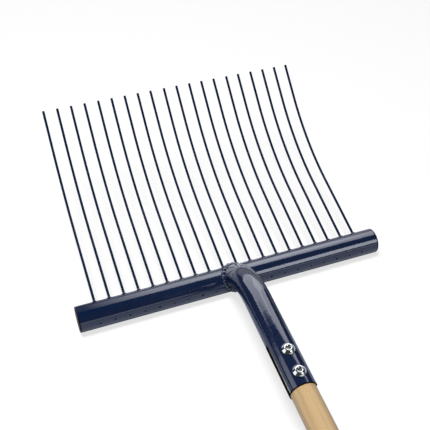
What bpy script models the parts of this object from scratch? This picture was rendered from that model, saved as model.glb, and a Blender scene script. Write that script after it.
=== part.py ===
"""A manure fork: twenty curved wire tines set through a tubular crossbar, with a bent tubular
socket coped and welded onto the bar, split along both sides and bolted onto a long wooden handle.

The pieces are modelled in the tool's own frame: X runs along the crossbar, Y forward along the
handle's axis and Z up, from the middle of the crossbar's axis. They hang on one empty, which
tilts them onto the floor, where the fork lies on its crossbar and the butt of its handle.
"""

import math

import bmesh
import bpy
from mathutils import Matrix, Vector

# Clearance between pieces that touch, and how far a cutter runs past what it cuts
GAP = 0.0003
OVERCUT = 0.004

# Crossbar: a straight tube, as long as its row of tines needs
BAR_DIAMETER = 0.0349
BAR_WALL = 0.0016
BAR_END_MARGIN = 0.025

# Tines: spring wires through the crossbar, straight at the root and the tip, bent up between
TINE_COUNT = 20
TINE_PITCH = 0.020
TINE_DIAMETER = 0.0032
TINE_RISE = 0.0067
TINE_ROOT_ANGLE = math.radians(11.7)
TINE_ROOT_LENGTH = 0.113
TINE_BEND_RADIUS = 0.3255
TINE_BEND_ANGLE = math.radians(25.7)
TINE_TIP_LENGTH = 0.052
TINE_TIP_CHAMFER = 0.0005

# End plugs: pressed into the crossbar's ends, each a thin flange on a hollow spigot
PLUG_FLANGE = 0.0017
PLUG_DEPTH = 0.012
PLUG_WALL = 0.002
PLUG_EDGE_ROUND = 0.0013

# Socket: a tube that rises out of the crossbar and bends back along the handle
SOCKET_DIAMETER = 0.0349
SOCKET_WALL = 0.00125
SOCKET_STUB = 0.015
SOCKET_BEND_RADIUS = 0.086
SOCKET_BEND_ANGLE = math.radians(56.4)
SOCKET_STRAIGHT = 0.134
SLOT_WIDTH = 0.005
SLOT_LENGTH = 0.068

# Weld: a rippled bead all round the foot of the socket
WELD_RADIUS = 0.0022
WELD_RIPPLES = 24
WELD_RIPPLE_DEPTH = 0.0003

# Handle: a turned wooden pole that fills the socket, with a slight waist and a rounded butt
HANDLE_LENGTH = 1.220
HANDLE_ENGAGEMENT = 0.112
HANDLE_LEAD_CHAMFER = 0.0015
HANDLE_WAIST_DIAMETER = 0.0290
HANDLE_BUTT_DIAMETER = 0.0310
BUTT_ROUND = 0.008

# Bolts: two dome-headed bolts down through the socket and the handle, with washers and nuts
BOLT_DIAMETER = 0.008
BOLT_SPACING = 0.0305
BOLT_FROM_MOUTH = 0.0163
BOLT_END_CHAMFER = 0.0008
HEAD_DIAMETER = 0.017
HEAD_HEIGHT = 0.0045
HEAD_RIM = 0.0008
HEAD_LAND_DIAMETER = 0.0080
KEY_ACROSS_FLATS = 0.005
KEY_DEPTH = 0.0028
WASHER_DIAMETER = 0.016
WASHER_THICKNESS = 0.0016
NUT_ACROSS_FLATS = 0.013
NUT_HEIGHT = 0.0065
NUT_COLLAR_DIAMETER = 0.0112
NUT_COLLAR_HEIGHT = 0.0015
NUT_CHAMFER = 0.0007
THREAD_SHOWING = 0.002

# Facets
WIRE_SIDES = 8
TUBE_SIDES = 36
HOLE_SIDES = 10
SMALL_SIDES = 24
TINE_BEND_STEPS = 9
SOCKET_BEND_STEPS = 11
WELD_STEPS_PER_RIPPLE = 3
WELD_SIDES = 8
ROUND_STEPS = 3
HANDLE_STEPS = 4

# Worked out from the sizes above
BAR_RADIUS = BAR_DIAMETER / 2
BAR_LENGTH = (TINE_COUNT - 1) * TINE_PITCH + 2 * BAR_END_MARGIN
SOCKET_RADIUS = SOCKET_DIAMETER / 2
SOCKET_BORE_RADIUS = SOCKET_RADIUS - SOCKET_WALL
SOCKET_EXIT_HEADING = math.pi - SOCKET_BEND_ANGLE
HANDLE_RADIUS = SOCKET_BORE_RADIUS - GAP
HANDLE_HEIGHT = SOCKET_STUB * math.sin(SOCKET_BEND_ANGLE) + SOCKET_BEND_RADIUS * (
    1 - math.cos(SOCKET_BEND_ANGLE)
)
BEND_END_Y = -SOCKET_STUB * math.cos(SOCKET_BEND_ANGLE) - SOCKET_BEND_RADIUS * math.sin(
    SOCKET_BEND_ANGLE
)
MOUTH_Y = BEND_END_Y - SOCKET_STRAIGHT
HANDLE_TOP_Y = MOUTH_Y + HANDLE_ENGAGEMENT
BUTT_Y = HANDLE_TOP_Y - HANDLE_LENGTH
BOLT_HOLE_RADIUS = BOLT_DIAMETER / 2 + GAP
BOLT_PLACES = {
    "rear": MOUTH_Y + BOLT_FROM_MOUTH,
    "front": MOUTH_Y + BOLT_FROM_MOUTH + BOLT_SPACING,
}


def clear_scene():
    for obj in list(bpy.data.objects):
        bpy.data.objects.remove(obj, do_unlink=True)


def material(name, colour, roughness, metallic=0.0):
    made = bpy.data.materials.new(name)
    made.use_nodes = True
    shader = made.node_tree.nodes["Principled BSDF"]
    shader.inputs["Base Color"].default_value = (*colour, 1.0)
    shader.inputs["Roughness"].default_value = roughness
    shader.inputs["Metallic"].default_value = metallic
    return made


def new_object(name, bm, finish=None):
    """An object from a bmesh, faces outward, shaded smooth but for its real edges."""
    bmesh.ops.recalc_face_normals(bm, faces=bm.faces)
    mesh = bpy.data.meshes.new(name)
    bm.to_mesh(mesh)
    bm.free()
    mesh.shade_smooth()
    mesh.set_sharp_from_angle(angle=math.radians(35))
    if finish:
        mesh.materials.append(finish)
    obj = bpy.data.objects.new(name, mesh)
    bpy.context.scene.collection.objects.link(obj)
    return obj


def boolean(target, tool, operation="DIFFERENCE"):
    """Leaves the Boolean live on the target, with its tool kept as a hidden guide."""
    tool.hide_render = True
    tool.display_type = "WIRE"
    change = target.modifiers.new(tool.name, "BOOLEAN")
    change.operation = operation
    change.solver = "EXACT"
    change.object = tool


def trace(start, heading, moves):
    """Follows lines and arcs in the YZ plane and gives each station as (y, z, heading).

    A move is ("line", length) or ("arc", radius, angle, steps), where a positive angle turns
    from +Y towards +Z.
    """
    y, z = start
    stations = [(y, z, heading)]
    for kind, size, *turn in moves:
        if kind == "line":
            y += size * math.cos(heading)
            z += size * math.sin(heading)
            stations.append((y, z, heading))
            continue
        angle, steps = turn
        for _ in range(steps):
            part = angle / steps
            chord = 2 * size * math.sin(part / 2)
            y += chord * math.cos(heading + part / 2)
            z += chord * math.sin(heading + part / 2)
            heading += part
            stations.append((y, z, heading))
    return stations


def circle(bm, centre, across, upward, radius, sides):
    """A circle of vertices round a centre, with a flat side towards each of its two directions."""
    turns = [2 * math.pi * (k + 0.5) / sides for k in range(sides)]
    return [bm.verts.new(centre + radius * (math.cos(t) * across + math.sin(t) * upward)) for t in turns]


def ring(bm, station, radius, sides):
    """A circle of vertices square to the path at a station."""
    y, z, heading = station
    upward = Vector((0, -math.sin(heading), math.cos(heading)))
    return circle(bm, Vector((0, y, z)), Vector((1, 0, 0)), upward, radius, sides)


def join_rings(bm, first, second):
    for k in range(len(first)):
        n = (k + 1) % len(first)
        bm.faces.new((first[k], first[n], second[n], second[k]))


def sweep(stations, radii, sides):
    """A solid round bar along the stations, with one radius for each."""
    bm = bmesh.new()
    rings = [ring(bm, s, r, sides) for s, r in zip(stations, radii)]
    for first, second in zip(rings, rings[1:]):
        join_rings(bm, first, second)
    bm.faces.new(rings[0])
    bm.faces.new(rings[-1])
    return bm


def tube(stations, radius, wall, sides):
    """A hollow tube along the stations, open at both ends."""
    bm = bmesh.new()
    outer = [ring(bm, s, radius, sides) for s in stations]
    inner = [ring(bm, s, radius - wall, sides) for s in stations]
    loop = outer + inner[::-1]
    for first, second in zip(loop, loop[1:] + loop[:1]):
        join_rings(bm, first, second)
    return bm


def turned(profile, sides):
    """A solid turned round Z from an outline of (radius, z), closed on the axis or on itself."""
    bm = bmesh.new()
    closed = min(r for r, _ in profile) > 0
    loops = []
    for radius, z in profile:
        if radius == 0:
            loops.append([bm.verts.new((0, 0, z))])
        else:
            loops.append(circle(bm, Vector((0, 0, z)), Vector((1, 0, 0)), Vector((0, 1, 0)), radius, sides))
    pairs = list(zip(loops, loops[1:]))
    if closed:
        pairs.append((loops[-1], loops[0]))
    for first, second in pairs:
        if len(first) == 1 or len(second) == 1:
            tip, edge = (first[0], second) if len(first) == 1 else (second[0], first)
            for k in range(sides):
                bm.faces.new((tip, edge[k], edge[(k + 1) % sides]))
        else:
            join_rings(bm, first, second)
    return bm


def prism(across_flats, low, high):
    """A hexagonal prism round Z."""
    bm = bmesh.new()
    corner_radius = across_flats / 2 / math.cos(math.pi / 6)
    bmesh.ops.create_cone(
        bm,
        cap_ends=True,
        segments=6,
        radius1=corner_radius,
        radius2=corner_radius,
        depth=high - low,
        matrix=Matrix.Translation((0, 0, (low + high) / 2)),
    )
    return bm


def add_cylinder(bm, centre, axis, radius, length, sides):
    """Adds a plain cylinder, to be used as a cutter."""
    turn = Vector(axis).to_track_quat("Z", "Y").to_matrix().to_4x4()
    bmesh.ops.create_cone(
        bm,
        cap_ends=True,
        segments=sides,
        radius1=radius,
        radius2=radius,
        depth=length,
        matrix=Matrix.Translation(centre) @ turn,
    )


def tine_places():
    first = -(TINE_COUNT - 1) * TINE_PITCH / 2
    return [first + k * TINE_PITCH for k in range(TINE_COUNT)]


def tine_start(distance):
    """The point of a tine's straight root at a distance from the foot of its normal to the bar's axis."""
    along = (math.cos(TINE_ROOT_ANGLE), math.sin(TINE_ROOT_ANGLE))
    normal = (-math.sin(TINE_ROOT_ANGLE), math.cos(TINE_ROOT_ANGLE))
    return tuple(distance * a + TINE_RISE * n for a, n in zip(along, normal))


def make_tine_mesh(finish):
    """A tine from its rear end, cut off inside the bar's surface, to its blunt tip."""
    radius = TINE_DIAMETER / 2
    rear = math.sqrt(BAR_RADIUS**2 - (TINE_RISE + radius) ** 2)
    moves = [
        ("line", rear + TINE_ROOT_LENGTH),
        ("arc", TINE_BEND_RADIUS, TINE_BEND_ANGLE, TINE_BEND_STEPS),
        ("line", TINE_TIP_LENGTH - TINE_TIP_CHAMFER),
        ("line", TINE_TIP_CHAMFER),
    ]
    stations = trace(tine_start(-rear), TINE_ROOT_ANGLE, moves)
    radii = [radius] * (len(stations) - 1) + [radius - TINE_TIP_CHAMFER]
    pattern = new_object("tine_pattern", sweep(stations, radii, WIRE_SIDES), finish)
    mesh = pattern.data
    bpy.data.objects.remove(pattern)
    return mesh


def make_tines(finish):
    """One object for each tine, all sharing one mesh."""
    mesh = make_tine_mesh(finish)
    for number, place in enumerate(tine_places(), 1):
        tine = bpy.data.objects.new(f"tine_{number:02d}", mesh)
        bpy.context.scene.collection.objects.link(tine)
        tine.location.x = place


def make_crossbar(finish):
    """A tube along X, drilled through both walls for every tine."""
    half = BAR_LENGTH / 2
    bm = tube([(-half, 0, 0), (half, 0, 0)], BAR_RADIUS, BAR_WALL, TUBE_SIDES)
    # The tube is made along Y like the others, then turned to lie along X
    bmesh.ops.rotate(bm, verts=bm.verts, matrix=Matrix.Rotation(-math.pi / 2, 3, "Z"))
    bar = new_object("crossbar", bm, finish)
    drills = bmesh.new()
    along = (0, math.cos(TINE_ROOT_ANGLE), math.sin(TINE_ROOT_ANGLE))
    middle_y, middle_z = tine_start(0)
    for place in tine_places():
        centre = (place, middle_y, middle_z)
        add_cylinder(drills, centre, along, TINE_DIAMETER / 2 + GAP, BAR_DIAMETER + OVERCUT, HOLE_SIDES)
    boolean(bar, new_object("tine_drills", drills))


def rounded_corner(radius, z, size, turn):
    """Outline points round a convex corner at (radius, z): turn is +1 at a top and -1 at a foot."""
    points = []
    for k in range(ROUND_STEPS + 1):
        a = math.pi / 2 * k / ROUND_STEPS
        points.append((radius - size * (1 - math.cos(a)), z - turn * size * (1 - math.sin(a))))
    return points


def make_end_plug(side, finish):
    """A plug whose flange covers the end of the bar. It is turned round Z and laid along X."""
    spigot = BAR_RADIUS - BAR_WALL - GAP
    bore = spigot - PLUG_WALL
    outline = [(0, PLUG_FLANGE)]
    outline += rounded_corner(BAR_RADIUS, PLUG_FLANGE, PLUG_EDGE_ROUND, 1)[::-1]
    outline += [(BAR_RADIUS, 0), (spigot, 0), (spigot, -PLUG_DEPTH), (bore, -PLUG_DEPTH), (bore, 0), (0, 0)]
    plug = new_object("end_plug_right" if side > 0 else "end_plug_left", turned(outline, TUBE_SIDES), finish)
    plug.rotation_euler.y = side * math.pi / 2
    plug.location.x = side * (BAR_LENGTH / 2 + GAP)


def socket_moves(stub, straight):
    return [
        ("line", stub),
        ("arc", SOCKET_BEND_RADIUS, SOCKET_BEND_ANGLE, SOCKET_BEND_STEPS),
        ("line", straight),
    ]


def make_socket(bar_cutter, bolt_cutter, finish):
    """The bent tube, coped at its foot to sit on the bar, slotted and drilled at its mouth."""
    stations = trace((0, 0), SOCKET_EXIT_HEADING, socket_moves(SOCKET_STUB, SOCKET_STRAIGHT))
    socket = new_object("socket", tube(stations, SOCKET_RADIUS, SOCKET_WALL, TUBE_SIDES), finish)
    slot = bmesh.new()
    bmesh.ops.create_cube(slot, size=1)
    bmesh.ops.scale(
        slot,
        verts=slot.verts,
        vec=(SOCKET_DIAMETER + OVERCUT, SLOT_LENGTH + OVERCUT, SLOT_WIDTH),
    )
    slot_saw = new_object("slot_saw", slot)
    slot_saw.location = (0, MOUTH_Y + (SLOT_LENGTH - OVERCUT) / 2, HANDLE_HEIGHT)
    boolean(socket, bar_cutter)
    boolean(socket, slot_saw)
    boolean(socket, bolt_cutter)


def make_bar_cutter():
    """The bar's outside with the clearance that the pieces welded to it keep."""
    bm = bmesh.new()
    length = SOCKET_DIAMETER + 4 * WELD_RADIUS + 2 * OVERCUT
    add_cylinder(bm, (0, 0, 0), (1, 0, 0), BAR_RADIUS + GAP, length, TUBE_SIDES)
    return new_object("bar_cope", bm)


def make_bolt_cutter():
    """Both bolt holes, through the socket and the handle."""
    bm = bmesh.new()
    for place in BOLT_PLACES.values():
        add_cylinder(
            bm,
            (0, place, HANDLE_HEIGHT),
            (0, 0, 1),
            BOLT_HOLE_RADIUS,
            SOCKET_DIAMETER + 2 * OVERCUT,
            SMALL_SIDES,
        )
    return new_object("bolt_drills", bm)


def weld_path(turn):
    """A point of the seam between socket and bar, in the socket's foot frame turned into the tool's."""
    reach = BAR_RADIUS + GAP
    side = SOCKET_RADIUS * math.cos(turn)
    lift = SOCKET_RADIUS * math.sin(turn)
    out = math.sqrt(max(reach**2 - lift**2, 0))
    axis = Vector((0, math.cos(SOCKET_EXIT_HEADING), math.sin(SOCKET_EXIT_HEADING)))
    upward = Vector((0, -math.sin(SOCKET_EXIT_HEADING), math.cos(SOCKET_EXIT_HEADING)))
    return Vector((side, 0, 0)) + lift * upward + out * axis


def make_weld(bar_cutter, finish):
    """The bead: a rippled ring along the seam, cut back to the faces of the bar and the socket."""
    bm = bmesh.new()
    steps = WELD_RIPPLES * WELD_STEPS_PER_RIPPLE
    rings = []
    for k in range(steps):
        turn = 2 * math.pi * k / steps
        here = weld_path(turn)
        ahead = (weld_path(turn + 0.01) - weld_path(turn - 0.01)).normalized()
        outward = (here - ahead * here.dot(ahead)).normalized()
        sideways = ahead.cross(outward)
        radius = WELD_RADIUS - WELD_RIPPLE_DEPTH * (k % WELD_STEPS_PER_RIPPLE == 0)
        loop = []
        for j in range(WELD_SIDES):
            a = 2 * math.pi * j / WELD_SIDES
            loop.append(bm.verts.new(here + radius * (math.cos(a) * outward + math.sin(a) * sideways)))
        rings.append(loop)
    for first, second in zip(rings, rings[1:] + rings[:1]):
        join_rings(bm, first, second)
    weld = new_object("socket_weld", bm, finish)
    stations = trace(
        (-OVERCUT * math.cos(SOCKET_EXIT_HEADING), -OVERCUT * math.sin(SOCKET_EXIT_HEADING)),
        SOCKET_EXIT_HEADING,
        socket_moves(SOCKET_STUB + OVERCUT, OVERCUT),
    )
    body = sweep(stations, [SOCKET_RADIUS + GAP] * len(stations), TUBE_SIDES)
    socket_cutter = new_object("socket_outside", body)
    boolean(weld, bar_cutter)
    boolean(weld, socket_cutter)


def ease(share):
    """A smooth step from 0 to 1."""
    return (1 - math.cos(math.pi * share)) / 2


def make_handle(bolt_cutter, finish):
    """The pole, turned round Z from its top at the origin down to its butt, then laid along Y."""
    free = HANDLE_LENGTH - HANDLE_ENGAGEMENT
    waist = HANDLE_WAIST_DIAMETER / 2
    butt = HANDLE_BUTT_DIAMETER / 2
    outline = [(0, 0), (HANDLE_RADIUS - HANDLE_LEAD_CHAMFER, 0), (HANDLE_RADIUS, -HANDLE_LEAD_CHAMFER)]
    for k in range(HANDLE_STEPS + 1):
        share = k / HANDLE_STEPS
        radius = HANDLE_RADIUS + (waist - HANDLE_RADIUS) * ease(share)
        outline.append((radius, -HANDLE_ENGAGEMENT - share * free / 2))
    for k in range(1, HANDLE_STEPS):
        share = k / HANDLE_STEPS
        radius = waist + (butt - waist) * ease(share)
        outline.append((radius, -HANDLE_ENGAGEMENT - (1 + share) * free / 2))
    outline += rounded_corner(butt, -HANDLE_LENGTH, BUTT_ROUND, -1)
    outline.append((0, -HANDLE_LENGTH))
    handle = new_object("handle", turned(outline, TUBE_SIDES), finish)
    handle.rotation_euler.x = -math.pi / 2
    handle.location = (0, HANDLE_TOP_Y, HANDLE_HEIGHT)
    boolean(handle, bolt_cutter)


def make_bolt(name, seat, finish):
    """A domed head with a key recess on a plain shank, seated on the socket's top."""
    head = HEAD_DIAMETER / 2
    land = HEAD_LAND_DIAMETER / 2
    shank = BOLT_DIAMETER / 2
    grip = SOCKET_DIAMETER + 2 * GAP + GAP + WASHER_THICKNESS + GAP
    reach = grip + NUT_HEIGHT + NUT_COLLAR_HEIGHT + THREAD_SHOWING
    outline = [(0, -reach), (shank - BOLT_END_CHAMFER, -reach), (shank, -reach + BOLT_END_CHAMFER)]
    outline += [(shank, 0), (head, 0), (head, HEAD_RIM)]
    dome = HEAD_HEIGHT - HEAD_RIM
    for k in range(1, ROUND_STEPS + 2):
        a = math.pi / 2 * k / (ROUND_STEPS + 1)
        outline.append((land + (head - land) * math.cos(a), HEAD_RIM + dome * math.sin(a)))
    outline.append((0, HEAD_HEIGHT))
    bolt = new_object(name, turned(outline, SMALL_SIDES), finish)
    key = new_object(name + "_key", prism(KEY_ACROSS_FLATS, HEAD_HEIGHT - KEY_DEPTH, HEAD_HEIGHT + OVERCUT))
    bolt.location = key.location = seat
    boolean(bolt, key)


def make_washer(name, seat, finish):
    """A plain washer below its seat, the place of its upper face."""
    outer = WASHER_DIAMETER / 2
    outline = [
        (BOLT_HOLE_RADIUS, 0),
        (outer, 0),
        (outer, -WASHER_THICKNESS),
        (BOLT_HOLE_RADIUS, -WASHER_THICKNESS),
    ]
    washer = new_object(name, turned(outline, SMALL_SIDES), finish)
    washer.location = seat


def make_nut(name, seat, finish):
    """A lock nut below its seat: a chamfered hexagon with a round collar at its lower end."""
    corner = NUT_ACROSS_FLATS / 2 / math.cos(math.pi / 6)
    collar = NUT_COLLAR_DIAMETER / 2
    low = -NUT_HEIGHT - NUT_COLLAR_HEIGHT
    outline = [
        (BOLT_HOLE_RADIUS, 0),
        (corner - NUT_CHAMFER, 0),
        (corner, -NUT_CHAMFER),
        (corner, -NUT_HEIGHT + NUT_CHAMFER),
        (corner - NUT_CHAMFER, -NUT_HEIGHT),
        (collar, -NUT_HEIGHT),
        (collar, low),
        (BOLT_HOLE_RADIUS, low),
    ]
    nut = new_object(name, turned(outline, SMALL_SIDES), finish)
    hexagon = new_object(name + "_hexagon", prism(NUT_ACROSS_FLATS, low - OVERCUT, OVERCUT))
    nut.location = hexagon.location = seat
    boolean(nut, hexagon, "INTERSECT")


def make_fasteners(finish):
    """A bolt, washer and nut at each bolt hole."""
    head_seat = HANDLE_HEIGHT + SOCKET_RADIUS + GAP
    washer_seat = HANDLE_HEIGHT - SOCKET_RADIUS - GAP
    nut_seat = washer_seat - WASHER_THICKNESS - GAP
    for where, place in BOLT_PLACES.items():
        make_bolt("bolt_" + where, (0, place, head_seat), finish)
        make_washer("washer_" + where, (0, place, washer_seat), finish)
        make_nut("nut_" + where, (0, place, nut_seat), finish)


def lying_tilt():
    """How far the tool tips back until its crossbar and the rounded edge of its butt touch the floor."""
    length = -BUTT_Y - BUTT_ROUND
    height = HANDLE_HEIGHT - HANDLE_BUTT_DIAMETER / 2 + BUTT_ROUND
    return math.atan2(height, length) + math.asin((BAR_RADIUS - BUTT_ROUND) / math.hypot(length, height))


def lay_on_floor():
    """Hangs every piece on one tilted empty, over the middle of the space that they fill."""
    pieces = list(bpy.context.scene.objects)
    root = bpy.data.objects.new("fork", None)
    bpy.context.scene.collection.objects.link(root)
    root.rotation_euler.x = lying_tilt()
    for piece in pieces:
        piece.parent = root
    bpy.context.view_layer.update()
    graph = bpy.context.evaluated_depsgraph_get()
    points = []
    for piece in pieces:
        if not piece.hide_render:
            seen = piece.evaluated_get(graph)
            points += [seen.matrix_world @ vertex.co for vertex in seen.data.vertices]
    low = Vector([min(p[k] for p in points) for k in range(3)])
    high = Vector([max(p[k] for p in points) for k in range(3)])
    root.location = (-(low.x + high.x) / 2, -(low.y + high.y) / 2, -low.z)


def main():
    clear_scene()
    paint = material("navy_paint", (0.010, 0.020, 0.070), 0.18)
    plastic = material("black_plastic", (0.012, 0.012, 0.014), 0.45)
    wood = material("ash_wood", (0.60, 0.42, 0.22), 0.5)
    bright = material("bright_zinc", (0.78, 0.79, 0.80), 0.15, 1.0)
    bar_cutter = make_bar_cutter()
    bolt_cutter = make_bolt_cutter()
    make_crossbar(paint)
    make_tines(paint)
    for side in (-1, 1):
        make_end_plug(side, plastic)
    make_socket(bar_cutter, bolt_cutter, paint)
    make_weld(bar_cutter, paint)
    make_handle(bolt_cutter, wood)
    make_fasteners(bright)
    lay_on_floor()


main()
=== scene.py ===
import math
import random

import bmesh
import bpy
from mathutils import Matrix, Vector


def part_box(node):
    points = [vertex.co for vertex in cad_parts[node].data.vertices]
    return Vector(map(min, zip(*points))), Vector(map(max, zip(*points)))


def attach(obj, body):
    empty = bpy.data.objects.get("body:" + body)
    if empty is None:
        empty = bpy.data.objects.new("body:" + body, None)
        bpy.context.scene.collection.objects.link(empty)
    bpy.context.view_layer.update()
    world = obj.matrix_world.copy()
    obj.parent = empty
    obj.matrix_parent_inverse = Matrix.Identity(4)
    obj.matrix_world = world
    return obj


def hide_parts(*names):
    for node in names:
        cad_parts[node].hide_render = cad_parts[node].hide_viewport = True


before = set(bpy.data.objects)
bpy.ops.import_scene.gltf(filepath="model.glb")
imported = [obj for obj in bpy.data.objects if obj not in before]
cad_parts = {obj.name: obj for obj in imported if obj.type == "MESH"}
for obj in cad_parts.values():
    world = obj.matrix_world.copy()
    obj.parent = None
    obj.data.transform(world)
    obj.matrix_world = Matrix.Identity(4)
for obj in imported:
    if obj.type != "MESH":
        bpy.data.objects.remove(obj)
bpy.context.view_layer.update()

# Sizes of the fork in its own frame, in metres: X along the crossbar, Y forward from the handle to
# the tines and Z up, from the middle of the crossbar's axis. The shown slots, wires and weld bead are
# a little wider than the part's, the bar a hair thinner and the pole a hair shorter, to stay inside
# its box

# How far an edge is softened, the clearance between pieces and a step too small to see
EDGE = 0.0003
GAP = 0.0003
HAIR = 0.0001
BAR_RADIUS = 0.01743
BAR_LENGTH = 0.430
BAR_WALL = 0.0016
BAR_ROWS = 86
BAR_SIDES = 144
# The open rear ends of the tine holes, each of a size of its own
HOLE_RADII = (0.0009, 0.0015)
HOLE_SEED = 3
HOLE_SIDES = 20
DRILL_LENGTH = 0.012
TINE_COUNT = 20
TINE_PITCH = 0.020
TINE_RADIUS = 0.0018
# How far above the bar's axis a tine's line passes
TINE_RISE = 0.0067
TINE_ROOT_ANGLE = math.radians(11.7)
TINE_ROOT_LENGTH = 0.113
TINE_BEND_RADIUS = 0.3255
TINE_BEND_ANGLE = math.radians(25.7)
TINE_TIP_LENGTH = 0.0517
TINE_TIP_CHAMFER = 0.0006
TINE_LEAN = math.radians(0.12)
TINE_SEED = 11
# Rows of faces along a tine's root, bend and tip
TINE_ROWS = (6, 40, 3)
TINE_SIDES = 16
# The paint round a tine's foot: out from the wire's skin, and along it out of the bar
COLLAR = [
    (-0.0002, 0.0012),
    (0.0001, 0.0011),
    (0.0003, 0.0006),
    (0.0008, 0.0002),
    (0.0016, -0.0001),
    (0.0016, -0.0006),
    (-0.0002, -0.0006),
]
COLLAR_SIDES = 24
PLUG_FLANGE = 0.0017
PLUG_ROUND = 0.0013
PLUG_ROUND_ROWS = 6
PLUG_DISH_RADIUS = 0.0125
PLUG_DISH_SLOPE = 0.0005
PLUG_DISH_DEPTH = 0.0003
PLUG_SPIGOT = 0.012
PLUG_BORE_RADIUS = 0.0135
PLUG_SIDES = 96
SOCKET_RADIUS = 0.01745
SOCKET_WALL = 0.00125
SOCKET_STUB = 0.015
SOCKET_BEND_RADIUS = 0.086
SOCKET_BEND_ANGLE = math.radians(56.4)
SOCKET_STRAIGHT = 0.134
# Rows of faces: where the foot's stand between the bar (0) and the bend (1), and how many lie in the
# bend, before the slots and along them
FOOT_ROWS = (0.0, 0.34, 0.67)
BEND_ROWS = 44
PLAIN_ROWS = 10
SLOT_ROWS = 12
SLOT_WIDTH = 0.0058
SLOT_LENGTH = 0.068
# Strips along the slots, as angles round the tube: painted shade above them, worn paint above the
# shade, and painted shade below them
SHADE_ANGLE = math.radians(4)
LIP_ANGLE = math.radians(6)
JAW_ANGLE = math.radians(20)
# The length of the mouth's rim that gets painted shade, and how far into the socket the pole's painted shade
# starts
MOUTH_SHADE = 0.0006
SHADE_SETBACK = 0.0002
WELD_RADIUS = 0.0032
# The share by which the bead is fuller on the outer side of the bend
WELD_SWELL = 0.15
WELD_RIPPLES = 20
WELD_POINTS = 420
WELD_SIDES = 20
HANDLE_LENGTH = 1.2199
HANDLE_ENGAGEMENT = 0.112
HANDLE_RADIUS = 0.0159
HANDLE_WAIST_RADIUS = 0.0145
HANDLE_BUTT_RADIUS = 0.0155
HANDLE_CHAMFER = 0.0015
HANDLE_ROWS = 60
HANDLE_SIDES = 96
BUTT_ROUND = 0.008
BUTT_ROUND_ROWS = 12
BOLT_RADIUS = 0.004
BOLT_CHAMFER = 0.0008
BOLT_FROM_MOUTH = 0.0163
BOLT_SPACING = 0.0305
HEAD_RADIUS = 0.0081
HEAD_HEIGHT = 0.0045
HEAD_RIM = 0.0012
HEAD_LAND_RADIUS = 0.0040
HEAD_SLOPE_RIM = math.radians(50)
HEAD_SLOPE_LAND = math.radians(6)
HEAD_SLOPE_EASE = 2.5
HEAD_STEPS = 14
KEY_ACROSS_FLATS = 0.005
KEY_DEPTH = 0.0028
# The dish round the key: out from the key's corners, and up from the head's land
DISH = [(-0.0003, -0.0009), (0.0001, -0.0004), (0.0005, -0.0002), (0.0012, 0.0001)]
WASHER_RADIUS = 0.008
WASHER_THICKNESS = 0.0016
NUT_ACROSS_FLATS = 0.013
NUT_HEIGHT = 0.0065
NUT_CHAMFER = 0.0005
NUT_COLLAR_RADIUS = 0.0056
NUT_COLLAR_HEIGHT = 0.0015
NUT_COLLAR_WALL = 0.0007
NUT_COLLAR_STEP = 0.0004
# The length of the block whose hexagonal hole cuts a nut's flats
NUT_BLOCK = 0.03
THREAD_SHOWING = 0.002
FASTENER_SIDES = 72
RING_SIDES = 48

# Worked out from those sizes
EXIT_HEADING = math.pi - SOCKET_BEND_ANGLE
STUB_Y = SOCKET_STUB * math.cos(SOCKET_BEND_ANGLE)
STUB_Z = SOCKET_STUB * math.sin(SOCKET_BEND_ANGLE)
HANDLE_HEIGHT = STUB_Z + SOCKET_BEND_RADIUS * (1 - math.cos(SOCKET_BEND_ANGLE))
BEND_END_Y = -STUB_Y - SOCKET_BEND_RADIUS * math.sin(SOCKET_BEND_ANGLE)
MOUTH_Y = BEND_END_Y - SOCKET_STRAIGHT
HANDLE_TOP_Y = MOUTH_Y + HANDLE_ENGAGEMENT
BUTT_Y = HANDLE_TOP_Y - HANDLE_LENGTH
REAR_BOLT_Y = MOUTH_Y + BOLT_FROM_MOUTH
BOLT_PLACES = {"rear": REAR_BOLT_Y, "front": REAR_BOLT_Y + BOLT_SPACING}

# Colours, most of them as the two ends of a slow change
NAVY = ((0.0040, 0.0125, 0.0470), (0.0058, 0.0160, 0.0560))
DUST = (0.030, 0.040, 0.075)
PAINT_SHEEN_TINT = (0.88, 0.90, 1.0, 1.0)
THIN_NAVY = (0.006, 0.015, 0.050)
PRIMER = ((0.36, 0.35, 0.26), (0.56, 0.54, 0.40))
# Black painted shade, for the slots' lips, the socket's mouth and the pole inside the socket
SHADE_BLACK = ((0.0015, 0.0015, 0.002), (0.005, 0.005, 0.006))
PLASTIC = ((0.004, 0.004, 0.006), (0.008, 0.008, 0.011))
ASH = ((0.610, 0.400, 0.185), (0.770, 0.550, 0.292))
ASH_RING = (0.500, 0.300, 0.130)
ASH_FIBRE = (0.760, 0.570, 0.350)
ASH_PORE = (0.300, 0.180, 0.080)
ZINC = ((0.56, 0.58, 0.60), (0.70, 0.72, 0.73))

# How strongly the paint shines on each piece. Between the two places of BAR_END along X, the top and
# front of the crossbar go from the sheen of its left end to the full one. The low sheen at the left end
# is a painted dark reflection, standing in for dark surroundings that the bar mirrors there
PAINT_SHINE = 0.90
WELD_SHINE = 1.0
WIRE_SHINE = 0.06
BAR_END_SHINE = 0.05
BAR_END = (-0.205, -0.115)

# The camera that took the photograph
CAMERA_PLACE = (-0.2594, -0.0653, 0.7722)
CAMERA_TURN = (45.328, -1.185, -20.183)
CAMERA_LENS = 60.17

# The floor: its edges (left, right, near, far), the grey and the glow that the camera sees, and the
# colour that everything else sees
FLOOR_EDGES = (-0.95, 1.9, -1.6, 2.4)
FLOOR_SEEN = (0.34, 0.34, 0.34)
FLOOR_GLOW = 0.725
FLOOR_MIRRORED = (0.68, 0.73, 0.86)
# A pool of light on the floor ahead, which only reflections see: its middle, its brightness and the
# distances between which it fades
POOL_MIDDLE = (0.02, 0.86, 0.0)
POOL_LIGHT = 0.9
POOL_FADE = (0.10, 0.32)

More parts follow.
